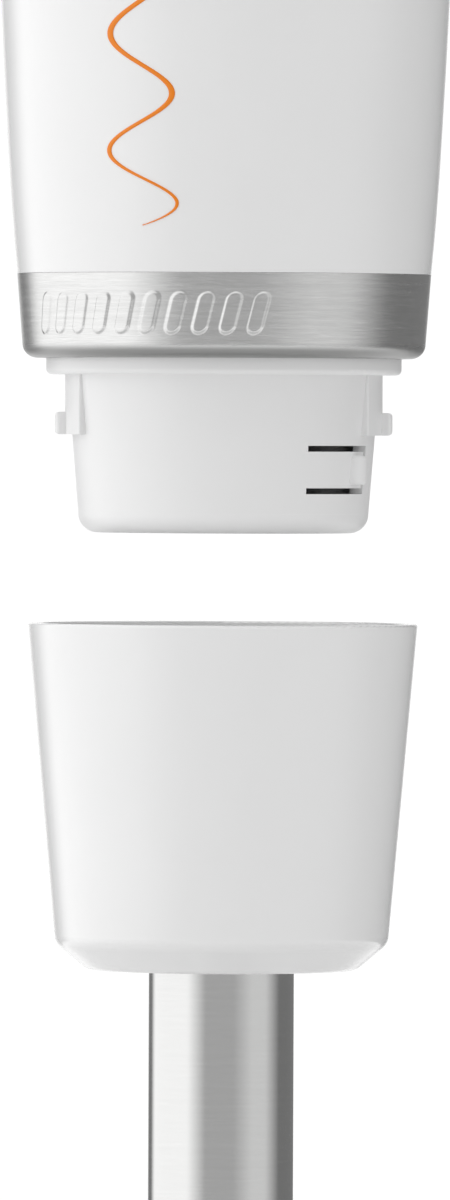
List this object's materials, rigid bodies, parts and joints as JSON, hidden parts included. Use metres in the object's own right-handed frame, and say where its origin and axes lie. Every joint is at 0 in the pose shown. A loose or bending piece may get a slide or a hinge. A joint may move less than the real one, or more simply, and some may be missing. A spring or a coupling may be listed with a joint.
{
  "type": "immersion blender",
  "caption": "Hand blender: tapered motor handle with steel band and bayonet spigot, and a pull-off blending leg with cup collar, steel tube, bell guard and cross blade.",
  "frame": {"origin": "centre of the coupling plane, the flange's upper end at the lower face of the handle's steel band, on the drive axis", "axes": "+Z along the drive axis towards the handle's top, -Y towards the front with the buttons, +X to the right seen from the front"},
  "size_m": [0.067, 0.067, 0.4438],
  "materials": {
    "white_gloss_plastic": "glossy white moulded ABS with faint surface waviness",
    "white_socket_plastic": "satin white glass-filled nylon",
    "grip_rubber": "soft light grey elastomer, fine matt texture",
    "grey_button_plastic": "satin white moulded plastic",
    "accent_orange": "printed orange accent",
    "black_rubber": "matt black rubber",
    "gasket_silicone": "translucent grey silicone",
    "brushed_band_steel": "stainless sheet brushed around its circumference",
    "satin_tube_steel": "stainless tube with fine lengthwise polish",
    "bell_steel": "pressed stainless steel, satin spun finish",
    "blade_steel": "hardened stainless steel with ground bevels",
    "shaft_steel": "turned bright steel",
    "zinc_steel": "zinc plated steel",
    "lamination_steel": "stacked electrical steel sheets, dark edges",
    "enamelled_copper": "enamelled copper windings, varnished",
    "commutator_copper": "turned copper bars with dark slots",
    "brush_carbon": "pressed carbon",
    "holder_brass": "folded brass",
    "bush_bronze": "sintered bronze, oil dark",
    "bracket_nylon": "black glass-filled nylon",
    "chassis_plastic": "natural moulded plastic",
    "board_laminate": "green circuit laminate",
    "component_blue": "dipped capacitor case",
    "black_component": "black moulded component",
    "heat_sink_aluminium": "folded aluminium",
    "lead_insulation": "red wire insulation",
    "drive_acetal": "black acetal"
  },
  "bodies": {
    "handle": {"handle_shell": "white_gloss_plastic", "grip_pad": "grip_rubber", "steel_band": "brushed_band_steel", "top_cap": "white_gloss_plastic", "cap_screws": "zinc_steel", "cord_gland": "black_rubber", "cord_clamp": "chassis_plastic", "coupling_spigot": "white_socket_plastic", "spigot_screws": "zinc_steel", "lower_motor_bracket": "bracket_nylon", "upper_motor_bracket": "bracket_nylon", "lower_motor_bearing": "shaft_steel", "upper_motor_bearing": "shaft_steel", "lower_motor_mount": "black_rubber", "upper_motor_mount": "black_rubber", "stator_core": "lamination_steel", "field_coils": "enamelled_copper", "motor_screws": "zinc_steel", "brush_holders": "holder_brass", "carbon_brushes": "brush_carbon", "brush_springs": "zinc_steel", "control_chassis": "chassis_plastic", "control_board": "board_laminate", "board_screws": "zinc_steel", "suppression_capacitor": "component_blue", "speed_triac": "heat_sink_aluminium", "potentiometer": "black_component", "motor_leads": "lead_insulation", "power_spring": "zinc_steel", "power_switch": "black_component", "turbo_spring": "zinc_steel", "turbo_switch": "black_component"},
    "rotor": {"armature_core": "lamination_steel", "armature_windings": "enamelled_copper", "commutator": "commutator_copper", "cooling_fan": "bracket_nylon", "rotor_shaft": "shaft_steel", "motor_coupling": "drive_acetal"},
    "dial": {"speed_dial": "grey_button_plastic", "dial_spindle": "holder_brass"},
    "power_button": {"power_button": "grey_button_plastic", "power_plunger": "black_component"},
    "turbo_button": {"turbo_button": "accent_orange", "turbo_plunger": "black_component"},
    "gasket": {"socket_gasket": "gasket_silicone"},
    "leg": {"collar_shell": "white_gloss_plastic", "socket_liner": "white_socket_plastic", "tube_pins": "shaft_steel", "leg_tube": "satin_tube_steel", "upper_bush": "bush_bronze", "lower_bush": "bush_bronze", "lower_bearing_carrier": "white_socket_plastic", "shaft_seal": "black_rubber", "bell_guard": "bell_steel"},
    "drive_line": {"drive_shaft": "shaft_steel", "leg_coupling": "drive_acetal", "blade": "blade_steel", "blade_spacer": "shaft_steel", "blade_nut": "shaft_steel", "thrust_washers": "shaft_steel"}
  },
  "joints": [
    {"name": "motor_spin", "type": "hinge", "parent": "handle", "child": "rotor", "pos_m": [0, 0, 0.06], "axis": [0, 0, 1], "continuous": true},
    {"name": "leg_slide", "type": "slide", "parent": "handle", "child": "gasket", "axis": [0, 0, 1], "range_m": [0, 0.0384]},
    {"name": "leg_twist", "type": "hinge", "parent": "gasket", "child": "leg", "pos_m": [0, 0, -0.0479], "axis": [0, 0, 1], "range_deg": [0, 20]},
    {"name": "blade_spin", "type": "hinge", "parent": "leg", "child": "drive_line", "pos_m": [0, 0, -0.2224], "axis": [0, 0, 1], "continuous": true},
    {"name": "power_press", "type": "slide", "parent": "handle", "child": "power_button", "axis": [0, 1, 0], "range_m": [0, 0.0019], "stiffness_N_per_m": 300, "springref_m": -0.003, "deforming": ["power_spring"]},
    {"name": "turbo_press", "type": "slide", "parent": "handle", "child": "turbo_button", "axis": [0, 1, 0], "range_m": [0, 0.0019], "stiffness_N_per_m": 300, "springref_m": -0.003, "deforming": ["turbo_spring"]},
    {"name": "speed_dial_turn", "type": "hinge", "parent": "handle", "child": "dial", "pos_m": [0, -0.0045, 0.2], "axis": [0, 0, 1], "range_deg": [0, 270]}
  ],
  "couplings": [
    {"joint": "blade_spin", "follows": "motor_spin", "ratio": 1}
  ]
}
